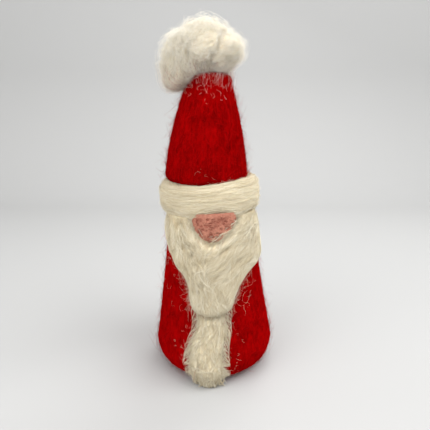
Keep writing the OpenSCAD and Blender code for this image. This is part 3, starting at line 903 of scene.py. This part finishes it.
# Thickness over the strip: rounded across, thinner under the beard, with clumps along the fibres.
def trimThickness(c, along):
    covered = smoothStep(beard["tip"] - trim["shade"], beard["tip"], coatOutline(along, 0)[1]) * (along > 0)
    full = trim["thick"] + (trim["hidden"] - trim["thick"]) * covered
    full = full * (1 - 0.5 * smoothStep(-0.2, trim["low"], along))
    clumps = cloudNoise(np.stack([c * 7 * mm, along * 45 * mm, 0 * c], -1), 2.0 * mm, 81, 3) * 0.6 * mm
    rounded = full * np.clip(1 - np.abs(c) ** 2.2, 0, 1) ** 0.9
    return np.maximum(rounded + clumps * np.clip(1.6 - 1.5 * np.abs(c), 0, 1), 0.1 * mm)


along = np.concatenate([np.linspace(trim["low"], 0, trim["edgeRows"] + 1)[:-1],
                        np.linspace(0, trim["top"], trim["rows"] - trim["edgeRows"])])[:, None]
c = np.linspace(-1, 1, trim["columns"])[None]
c, alongGrid = np.broadcast_arrays(c, along)
p = np.stack([np.sign(c) * 5 * mm, alongGrid * 40 * mm, 0 * c], -1)
ragged = 1 + 0.1 * cloudNoise(p, 2.0 * mm, 82, 2)
turnGrid = trimMiddle(alongGrid) + c * ragged * trimHalf(alongGrid)
front = onCoat(turnGrid, alongGrid, trimThickness(c, alongGrid) + figure["gap"])
back = onCoat(turnGrid, alongGrid, figure["gap"] + 0.1 * mm)
grid = np.concatenate([front, back[:, ::-1]], 1)
caps = np.concatenate([back, back[:, ::-1]], 1)
grid = aboveFloor(stand(np.concatenate([caps[:1], grid, caps[-1:]])), 0.02 * mm)
trimWool = woolMaterial("trimWool", colours["creamShade"], colours["cream"], (1, 1, 0.5), 900,
                        patch=0.4, bump=0.5, scatter=0.3)
coatTrim = addPiece("coatTrim", gridMesh("coatTrim", grid), [trimWool], ["coat_trim"])

rng = np.random.default_rng(19)
count = trim["fibres"]
steps = np.linspace(0, 1, 7)[None]
start = rng.uniform(trim["low"] + 0.02, trim["top"] + 0.03, count)[:, None]
length = rng.uniform(*trim["fibreLength"], count)[:, None]
c0 = rng.uniform(-1, 1, count)[:, None]
c0 = np.sign(c0) * np.abs(c0) ** 0.85
clump = 0.35 * latticeNoise(np.stack([c0 * 7 * mm, start * 22 * mm, 0 * c0], -1), 2.5 * mm, 86)
drift = rng.normal(0, 0.26, (count, 1)) + 0.24 * c0 + clump
fall = np.where(start > 0, trim["sideRun"], trim["edgeRun"])
alongs = np.clip(start - steps * length / fall, -0.66, 1)
bend = rng.normal(0, 0.3, (count, 1))
cs = c0 + drift * steps + bend * steps ** 2 + 0.04 * np.sin(steps * 9 + c0 * 30)
cs = np.clip(cs, -1.4, 1.4)
lift = rng.uniform(-0.15, 0.25, (count, 1)) * mm
lift = lift + rng.choice([0, 0.9], (count, 1), p=[0.82, 0.18]) * mm * steps
off = trimThickness(np.clip(cs, -1, 1), alongs) + lift + figure["gap"]
paths = aboveFloor(stand(onCoat(trimMiddle(alongs) + cs * trimHalf(alongs), alongs, off)), 0.06 * mm)
radius = rng.choice([1, 1.7], count, p=[0.65, 0.35]) * rng.uniform(0.035 * mm, 0.08 * mm, count)
addFibres("trimFibres", paths, radius, rng.choice(3, count, p=shadeShares["strands"]), 20, "cream")

# tufted end: fibres that leave the strip's lower end, bunch up and lie out on the floor
count = 620
c0 = np.clip(rng.normal(0, 0.5, (count, 1)), -1.1, 1.1)
bunch = 0.5 * latticeNoise(np.stack([c0 * 6 * mm, 0 * c0, 0 * c0], -1), 1.4 * mm, 88)
spread = np.radians(-6.5) + c0 * 0.24 + (-c0 * 0.03 + bunch * 0.1 + rng.normal(0, 0.05, (count, 1))) * steps
startRadius, startHeight = coatOutline(rng.uniform(-0.6, -0.12, (count, 1)),
                                       rng.uniform(1.0, 2.6, (count, 1)) * mm)
beyond = (rng.uniform(-0.5, 2.4, (count, 1)) - 1.3 * c0 ** 2 + 1.2 * bunch) * mm
endRadius = figure["footRadius"] + figure["edgeRadius"] * 0.8 + beyond
reach = startRadius + (endRadius - startRadius) * steps + 0.5 * mm * np.sin(np.pi * steps)
height = startHeight * (1 - steps ** 0.9) + rng.uniform(0.06, 0.7, (count, 1)) * mm * steps
paths = aboveFloor(stand(polar(reach, spread, height + figure["footSink"])), 0.15 * mm)
addFibres("trimEndFibres", paths, rng.uniform(0.06 * mm, 0.15 * mm, count),
          rng.choice(3, count, p=shadeShares["strands"]), 22, "cream")
print("trim done")

# ---- pompom
pompom = {
    "width": 31 * mm, "height": 27.5 * mm, "shift": -1.9 * mm, "heart": (-0.5 * mm, 0.0, 5.8 * mm),
    # the outline seen from the front, in millimetres from the hat's tip, and the depth before and behind
    "outline": [(0, 18.3), (5.5, 16.3), (11, 13.5), (15, 9.5), (14.5, 5), (11, 1.5), (4, -0.5),
                (-2.5, -3.5), (-8, -7), (-13, -8), (-16, -5), (-16, 4), (-14, 10), (-8.5, 14), (-3, 17.3)],
    "depth": (12.0 * mm, 11.5 * mm),
    # creases between the tufts: a place as shares of width and height, degrees about Y, strength
    "creases": [((-0.16, 0.2), -30, 0.6), ((0.13, 0.25), -145, 0.75)],
    # planes that bound each tuft, facing away from it, a place inside it, and the swirl it was wound about
    "tufts": {"left": {"cuts": [((-0.16, 0.2), -30)], "inside": (-0.27, 0.085), "swirl": (-0.75, 0.6, 0.1)},
              "right": {"cuts": [((0.13, 0.25), -145), ((-0.16, 0.2), 150)], "inside": (0.3, 0.25),
                        "swirl": (0.5, -0.55, 0.65)},
              "top": {"cuts": [((0.13, 0.25), 35), ((-0.16, 0.2), 150)], "inside": (0.03, 0.45),
                      "swirl": (-0.12, -0.72, 0.45)}},
    "rows": 100, "columns": 150, "fibres": 2100, "fibreLength": (5 * mm, 17 * mm),
}


# In the plane the outline's own distance p from the heart; out of it 1 / r^2 = cos^2 / p^2 + sin^2 / depth^2.
def pompomReach(direction):
    heart = np.array(pompom["heart"])
    points = np.array(pompom["outline"]) * mm - heart[[0, 2]]
    angles, lengths = np.arctan2(points[:, 1], points[:, 0]), np.hypot(points[:, 0], points[:, 1])
    angle = np.arctan2(direction[..., 2], direction[..., 0])
    order = np.argsort(angles)
    flat = np.interp(angle, angles[order], lengths[order], period=2 * np.pi)
    deep = np.where(direction[..., 1] < 0, *pompom["depth"])
    sine = direction[..., 1]
    return 1 / np.sqrt((1 - sine ** 2) / flat ** 2 + sine ** 2 / deep ** 2)


# Unit vectors by their angle above the horizon and their angle round the upright axis.
def directions(level, around):
    flat = np.cos(level)
    return np.stack([flat * np.cos(around), flat * np.sin(around), np.sin(level) + 0 * around], -1)


# The reach on a map of directions, softened by averaging neighbours a few times.
mapLevels, mapTurns = 91, 180
level = np.linspace(-np.pi / 2, np.pi / 2, mapLevels)[:, None]
around = np.linspace(-np.pi, np.pi, mapTurns, endpoint=False)[None]
reachMap = np.maximum(pompomReach(directions(level, around)), 7 * mm)
for _ in range(5):
    beside = reachMap * 2 + np.roll(reachMap, 1, 1) + np.roll(reachMap, -1, 1)
    tall = np.pad(beside / 4, ((1, 1), (0, 0)), mode="edge")
    reachMap = (tall[:-2] + 2 * tall[1:-1] + tall[2:]) / 4
reachMap[0], reachMap[-1] = reachMap[0].mean(), reachMap[-1].mean()


def pompomPlace(shares):
    return np.array([shares[0] * pompom["width"], 0, shares[1] * pompom["height"]])


# Distance beyond a plane through the origin whose normal is turned from +X about Y, in degrees.
def pastPlane(points, origin, turned):
    away = np.array([np.cos(np.radians(turned)), 0, -np.sin(np.radians(turned))])
    return (points - pompomPlace(origin)) @ away


# Depth of the creases, 0 to 1: a bell across each plane, which waves with the height; none underneath.
def pompomGroove(direction, place):
    groove = 0.0
    above = smoothStep(-0.3, 0.5, direction[..., 2] + 0.3)
    bent = 1.3 * mm * np.sin(place[..., 2] / (3.1 * mm))
    for origin, turned, strength in pompom["creases"]:
        groove = groove + strength * bell(pastPlane(place, origin, turned) + bent, 0, 0.9 * mm) * above
    return np.clip(groove, 0, 1)


# Softened reach, read between the map's points, plus puffs with creases between them, minus the grooves.
def onPompom(direction, off):
    direction = normed(direction)
    i = (np.arcsin(np.clip(direction[..., 2], -1, 1)) + np.pi / 2) / np.pi * (mapLevels - 1)
    j = (np.arctan2(direction[..., 1], direction[..., 0]) + np.pi) / (2 * np.pi) * mapTurns
    i0, j0 = np.clip(np.floor(i).astype(int), 0, mapLevels - 2), np.floor(j).astype(int)
    u, v = i - i0, j - j0
    j0, j1 = j0 % mapTurns, (j0 + 1) % mapTurns
    reach = (reachMap[i0, j0] * (1 - u) * (1 - v) + reachMap[i0 + 1, j0] * u * (1 - v)
             + reachMap[i0, j1] * (1 - u) * v + reachMap[i0 + 1, j1] * u * v)
    p = direction * 12 * mm
    puffs = np.abs(cloudNoise(p * np.array([1, 1, 1.5]), 8 * mm, 90, 2)) - 0.3
    folds = puffs * 2.0 * mm + cloudNoise(p * np.array([1, 1, 1.6]), 3.2 * mm, 93, 2) * 0.3 * mm
    place = np.array(pompom["heart"]) + direction * reach[..., None]
    out = folds - 1.5 * mm * pompomGroove(direction, place) + off - 0.75 * mm
    return place + direction * out[..., None]


def placePompom(points):
    return stand(placeHat(points + np.array([pompom["shift"], 0, hat["height"] + figure["gap"]])))


# Points past a plane slide back along their line to a point inside the tuft, until they lie on it.
def keepTuft(points, tuft):
    inside = pompomPlace(tuft["inside"])
    share = np.ones(points.shape[:-1])
    for origin, turned in tuft["cuts"]:
        past, own = pastPlane(points, origin, turned), pastPlane(inside, origin, turned)
        share = np.minimum(share, np.where(past > 0, -own / np.maximum(past - own, 1e-9), 1))
    return inside + (points - inside) * share[..., None]


pompomWool = woolMaterial("pompomWool", (0.80, 0.69, 0.49), (0.96, 0.885, 0.72), (1, 0.6, 1), 500,
                          patch=0.5, bump=0.3, scatter=0.5)
a = np.linspace(-np.pi / 2, np.pi / 2, pompom["rows"])[:, None]
b = np.linspace(-np.pi, np.pi, pompom["columns"], endpoint=False)[None]
unit = directions(a, b)
unit[0], unit[-1] = (0, 0, -1), (0, 0, 1)
skin = onPompom(unit, 0)
rng = np.random.default_rng(23)
for seed, (name, tuft) in enumerate(pompom["tufts"].items()):
    pieceName = "pompom" + name.capitalize() + "Tuft"
    # painted shade: the creases between the tufts are darkened by their depth
    mesh = gridMesh(pieceName, placePompom(keepTuft(skin, tuft)), shade=0.8 * pompomGroove(unit, skin))
    addPiece(pieceName, mesh, [pompomWool], ["pompom_" + name + "_tuft"])
    # starts: random directions whose place lies on this tuft's side of the planes
    start = normed(rng.normal(size=(pompom["fibres"] * 8, 3)))
    place = onPompom(start, 0)
    kept = np.ones(len(start), bool)
    for origin, turned in tuft["cuts"]:
        kept &= pastPlane(place, origin, turned) < 0.8 * mm
    direction = start[kept][:pompom["fibres"]]
    count = len(direction)
    axis = normed(np.array(tuft["swirl"]) + rng.normal(0, 0.3, (count, 3)))
    length = rng.uniform(*pompom["fibreLength"], count)
    group = rng.choice(3, count, p=[0.45, 0.3, 0.25])
    wander = np.array([0.22, 0.35, 0.6])[group][:, None]
    track = [direction]
    for _ in range(7):
        along = normed(np.cross(axis, direction), 0.15) + rng.normal(0, wander, (count, 3))
        direction = normed(direction + along * (length / 7 / (12 * mm))[:, None])
        track.append(direction)
    track = np.stack(track, 1)
    steps = np.linspace(0, 1, 8)[None]
    loose = np.array([0.3, 1.5, 3.2])[group][:, None] * mm
    radius = np.array([1.0, 0.7, 0.42])[group] * rng.uniform(*strandRadius, count)
    rise = loose * rng.uniform(0.1, 1, (count, 1)) * np.sin(np.pi * steps * rng.uniform(0.5, 1, (count, 1)))
    paths = placePompom(onPompom(track, rng.uniform(-0.15, 0.2, (count, 1)) * mm + rise))
    fibreName = "pompom" + name.capitalize() + "Fibres"
    addFibres(fibreName, paths, radius, rng.choice(3, count, p=shadeShares["pompom"]), 24 + seed, "pale")

# veil: very fine loose fibres that stand off the wool, more of them on the viewer's left and underneath
rng = np.random.default_rng(29)
count = 3000
start = rng.normal(size=(count, 3))
start[:, 0] -= 0.35 * rng.choice([0, 1], count)
start[:, 2] -= rng.choice([0, 1.2], count, p=[0.7, 0.3])
start = normed(start)
heading = normed(np.cross(start, rng.normal(size=(count, 3))))
side = np.cross(start, heading)
length = rng.uniform(2.5, 9, (count, 1))
steps = np.linspace(0, 1, 7)[None]
curve = rng.normal(0, 1.3, (count, 1))
bend = np.where(np.abs(curve) < 0.01, 0.01, curve)
u = length / 12 * np.sin(curve * steps) / bend
v = length / 12 * (1 - np.cos(curve * steps)) / bend
direction = start[:, None] + u[..., None] * heading[:, None] + v[..., None] * side[:, None]
height = rng.exponential(1, (count, 1)) * (1.1 + 0.9 * smoothStep(0.2, -0.7, start[:, :1])) * mm
rise = np.minimum(height, 4.0 * mm) * np.sin(np.pi * steps * rng.uniform(0.35, 1, (count, 1)))
under = smoothStep(-0.25, -0.6, start[:, 2:])
rise = rise * (1 - under) + under * rng.uniform(0.3, 3.4, (count, 1)) * mm * steps ** 1.4
paths = placePompom(onPompom(direction, rise))
addFibres("pompomVeil", paths, rng.uniform(0.012 * mm, 0.026 * mm, count),
          rng.choice(3, count, p=shadeShares["veil"]), 30, "pale", tip=0.4)

# wisps that come down from the pompom over the hat's tip, and red ones needled up into it
wisps = {"down": 760, "up": 320, "length": (1.5 * mm, 6 * mm)}
count = wisps["down"]
length = rng.uniform(*wisps["length"], (count, 1)) * rng.uniform(0.3, 1, (count, 1))
heading = rng.normal(0, 1.0, (count, 1)) + rng.normal(0, 2.2, (count, 1)) * steps
heading = heading + np.cumsum(rng.normal(0, 0.3, (count, 7)), 1)
turns = rng.uniform(-np.pi, np.pi, (count, 1))
p = np.concatenate([np.cos(turns), np.sin(turns), 0 * turns], 1) * 9 * mm
fringe = 0.05 * latticeNoise(p, 3.5 * mm, 97)[:, None]
turns = turns + np.cumsum(np.sin(heading), 1) * length / 7 / (9 * mm)
shares = 0.965 - rng.exponential(0.04, (count, 1)) - fringe
shares = shares - np.cumsum(np.cos(heading), 1) * length / 7 / hat["height"]
shares = np.clip(shares, 0.6, 0.98)
off = rng.uniform(0.5, 1.8, (count, 1)) * mm * (1 - steps) + rng.uniform(0.05, 0.7, (count, 1)) * mm
paths = stand(placeHat(onHat(turns, shares, off + 0.9 * mm * smoothStep(0.9, 0.96, shares))))
addFibres("hatWisps", paths, rng.uniform(0.011 * mm, 0.028 * mm, count),
          rng.choice(3, count, p=shadeShares["wisps"]), 31, "pale", tip=0.3)
count = wisps["up"]
start = normed(np.stack([rng.normal(-0.15, 0.55, count), rng.normal(0, 0.6, count), -np.ones(count)], -1))
heading = rng.normal(0, 0.8, (count, 1, 1)) * steps[..., None]
along = start[:, None] * np.array([1, 1, 0]) * 0.9 * steps[..., None]
along = along + np.array([0, 0, 0.25]) * steps[..., None]
direction = start[:, None] + along + np.cross(start[:, None], along) * heading
paths = placePompom(onPompom(direction, rng.uniform(0.05, 0.7, (count, 1)) * mm + 0 * steps))
addFibres("pompomRedFibres", paths, rng.uniform(0.012 * mm, 0.025 * mm, count),
          rng.choice(3, count), 32, "red", tip=0.3)
print("pompom done")

# ---- stray fibres
# Curled fibres on the red: walks with a steady turn, so that each makes an arc or a loop.
rng = np.random.default_rng(37)
stray = {"byBeard": 520, "byTrim": 260, "underPompom": 60, "byBrim": 26, "radius": (0.013 * mm, 0.025 * mm)}


def curledWalk(count, steps, length, curl):
    heading = rng.uniform(0, 2 * np.pi, (count, 1))
    bend = rng.normal(0, curl, (count, 1)) * np.linspace(0, 1, steps)
    bend = bend + np.cumsum(rng.normal(0, 0.35, (count, steps)), 1)
    run = rng.uniform(*length, (count, 1)) / (steps - 1)
    u = np.cumsum(np.cos(heading + bend) * run, 1)
    v = np.cumsum(np.sin(heading + bend) * run, 1)
    return u - u[:, :1], v - v[:, :1]


steps = np.linspace(0, 1, 8)[None]
count = stray["byBeard"]
side = rng.choice(["left", "right"], count, p=[0.35, 0.65])
z = rng.uniform(beard["tip"] - 1 * mm, beardHeight(0.62), count)
beyond = rng.choice([0.7, 3.0], count, p=[0.72, 0.28]) * rng.exponential(1, count) * mm
turn = np.where(side == "left", leftEdge(z) - beyond / coatRadius(z), rightEdge(z) + beyond / coatRadius(z))
u, v = curledWalk(count, 8, (1.5 * mm, 5.5 * mm), 4.5)
heights = np.maximum(z[:, None] + v, 12 * mm)
turns = turn[:, None] + u / coatRadius(heights)
off = np.maximum(beardThickness(turns, heights), 0) + rng.uniform(0.1, 0.5, (count, 1)) * mm
off = off + rng.uniform(0, 0.5, (count, 1)) * mm * np.sin(np.pi * steps)
beardStray = stand(onCoat(turns, alongFor(heights), off))
count = stray["byTrim"]
z = rng.uniform(5 * mm, beard["tip"], count)
along0 = alongAnywhere(z)
side = rng.choice([-1, 1], count)
beyond = rng.choice([0.6, 2.2], count, p=[0.75, 0.25]) * rng.exponential(1, count) * mm
turn = trimMiddle(along0) + side * (trimHalf(along0) + beyond / figure["radius"])
u, v = curledWalk(count, 8, (1.2 * mm, 4.5 * mm), 4)
turns = turn[:, None] + u / figure["radius"]
fall = np.where(along0 < 0, trim["edgeRun"], trim["sideRun"])[:, None]
alongs = np.clip(along0[:, None] + v / fall, -0.66, 0.5)
trimStray = stand(onCoat(turns, alongs, rng.uniform(0.1, 0.9, (count, 1)) * mm + 0 * steps))
count = stray["underPompom"]
share = rng.uniform(0.74, 0.93, count) - rng.exponential(0.03, count)
u, v = curledWalk(count, 8, (1.5 * mm, 5 * mm), 3)
shares = np.clip(share[:, None] + v / hat["height"], 0.5, 0.97)
turns = rng.uniform(-np.pi, np.pi, (count, 1)) + u / (10 * mm)
pompomStray = stand(placeHat(onHat(turns, shares, rng.uniform(0.05, 0.5, (count, 1)) * mm + 0 * steps)))
count = stray["byBrim"]
share = rng.uniform(0.1, 0.16, count) + rng.exponential(0.025, count)
u, v = curledWalk(count, 8, (1.2 * mm, 4 * mm), 3.5)
shares = np.clip(share[:, None] + np.abs(v) / hat["height"], 0.06, 0.6)
turns = rng.uniform(-np.pi, np.pi, (count, 1)) + u / (16 * mm)
brimStray = stand(placeHat(onHat(turns, shares, rng.uniform(0.05, 0.4, (count, 1)) * mm + 0 * steps)))
paths = aboveFloor(np.concatenate([beardStray, trimStray, pompomStray, brimStray]), 0.05 * mm)
addFibres("strayFibres", paths, rng.uniform(*stray["radius"], len(paths)),
          rng.choice(3, len(paths), p=shadeShares["strays"]), 40, "cream", tip=0.4)

# fuzz: short fibres that cross the edges of the brim, beard and trim outwards
fuzz = {"brim": 1600, "beard": 2400, "trim": 1300,
        "length": (0.8 * mm, 3.2 * mm), "radius": (0.016 * mm, 0.034 * mm)}
steps = np.linspace(0, 1, 5)[None]
count = fuzz["brim"]
length = rng.uniform(*fuzz["length"], (count, 1))
section = rng.choice([1.25, -1.2, 0.3], (count, 1), p=[0.5, 0.25, 0.25]) + rng.normal(0, 0.25, (count, 1))
turns = rng.uniform(-np.pi, np.pi, (count, 1)) + rng.normal(0, 1, (count, 1)) * length * steps / (20 * mm)
sections = section + np.sign(section) * rng.uniform(0, 0.5, (count, 1)) * steps
away = length * steps ** 1.3 * rng.uniform(0.1, 0.5, (count, 1))
brimFuzz = stand(onBrim(turns, np.clip(sections, -1.75, 1.9), brimOff(turns, sections) + away))
count = fuzz["beard"]
side = rng.choice([-1, 1], (count, 1))
z = beard["tip"] + rng.uniform(0, 1, (count, 1)) * beard["span"]
length = rng.uniform(*fuzz["length"], (count, 1))
heading = rng.normal(-0.5, 0.7, (count, 1))
heights = z + length * steps * np.sin(heading)
out = -1.0 * mm + rng.uniform(-0.3, 0.5, (count, 1)) * mm + length * steps * np.cos(heading)
edge = np.where(side < 0, leftEdge(heights), rightEdge(heights))
turns = edge + side * out / coatRadius(heights)
off = np.maximum(beardThickness(turns, heights), 0) * (1 - 0.5 * steps)
off = off + rng.uniform(0.1, 0.7, (count, 1)) * mm
beardFuzz = stand(onCoat(turns, alongFor(heights), off))
count = fuzz["trim"]
side = rng.choice([-1, 1], (count, 1))
alongs = rng.uniform(-0.55, trim["top"], (count, 1))
alongs = alongs - rng.uniform(0, 2.5, (count, 1)) * mm * steps / (40 * mm)
length = rng.uniform(*fuzz["length"], (count, 1))
out = -0.8 * mm + length * steps * rng.uniform(0.3, 1, (count, 1))
turns = trimMiddle(alongs) + side * (trimHalf(alongs) + out / figure["radius"])
trimFuzz = stand(onCoat(turns, alongs, rng.uniform(0.2, 1.8, (count, 1)) * mm * (1 - 0.6 * steps) + 0.1 * mm))
paths = aboveFloor(np.concatenate([brimFuzz, beardFuzz, trimFuzz]), 0.05 * mm)
addFibres("edgeFuzz", paths, rng.uniform(*fuzz["radius"], len(paths)),
          rng.choice(3, len(paths), p=shadeShares["strays"]), 41, "cream", tip=0.35)
print("stray fibres done")

# ---- pieces that stay as they are: the pad and the cores
coreMaterial = woolMaterial("coreWool", mixColour("coreWool", "creamShade", 0.5), colours["coreWool"],
                            (1, 1, 1), 600)
for node, material in (("base_pad", redFelt), ("body_core", coreMaterial), ("hat_core", coreMaterial)):
    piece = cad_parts[node]
    piece.data.materials.clear()
    piece.data.materials.append(material)

# ---- stage, light, camera
stageShape = {"back": 0.27, "bend": 0.16, "half": 1.6, "front": -0.8, "wallTop": 1.4}


# Floor, then a quarter circle, then a wall: the profile swept straight along X.
def sweepMesh():
    a = np.linspace(0, np.pi / 2, 24)
    back, bend = stageShape["back"], stageShape["bend"]
    y = np.concatenate([[stageShape["front"]], back + bend * np.sin(a), [back + bend]])
    z = np.concatenate([[0], bend * (1 - np.cos(a)), [stageShape["wallTop"]]])
    x = np.array([-stageShape["half"], stageShape["half"]])
    corners = np.stack([np.tile(x, len(y)), np.repeat(y, 2), np.repeat(z, 2)], -1)
    i = np.arange(len(y) - 1) * 2
    return fillMesh("sweep", corners, np.stack([i, i + 1, i + 3, i + 2], -1))


sweep = bpy.data.objects.new("sweep", sweepMesh())
bpy.context.scene.collection.objects.link(sweep)
stageMaterial, stageNodes, _ = newMaterial("stagePaper")
setSockets(stageNodes["Principled BSDF"], {"Base Color": (*colours["stage"], 1), "Roughness": 0.9})
sweep.data.materials.append(stageMaterial)


def addLight(name, place, target, size, power, colour=(1, 1, 1)):
    light = bpy.data.lights.new(name, "AREA")
    light.shape, light.size, light.energy, light.color = "DISK", size, power, colour
    lamp = bpy.data.objects.new(name, light)
    lamp.location = place
    lamp.rotation_euler = (Vector(target) - Vector(place)).to_track_quat("-Z", "Y").to_euler()
    bpy.context.scene.collection.objects.link(lamp)


addLight("keyLight", (0.42, -0.16, 0.58), (0, 0, 0.06), 0.55, 3.3)
addLight("fillLight", (-0.44, -0.40, 0.34), (0, 0, 0.09), 0.6, 2.2)
addLight("topLight", (0.0, -0.14, 0.48), (0, 0, 0.13), 0.4, 0.9)
addLight("backLight", (0.10, 0.20, 0.40), (0, 0, 0.12), 0.25, 0.7)
world = bpy.data.worlds.new("softRoom")
bpy.context.scene.world = world
world.use_nodes = True
setSockets(world.node_tree.nodes["Background"], {"Color": (1.0, 1.0, 1.0, 1), "Strength": 0.78})
bpy.context.scene.view_settings.view_transform = "Standard"

cameraData = bpy.data.cameras.new("camera")
cameraData.sensor_width = 36
cameraData.lens = 33.49
cameraData.clip_start = 0.01
camera = bpy.data.objects.new("camera", cameraData)
camera.location = (0.0001, -0.16075, 0.1075)
camera.rotation_euler = (np.radians(75), 0, 0)
bpy.context.scene.collection.objects.link(camera)
bpy.context.scene.camera = camera

print("scene done")
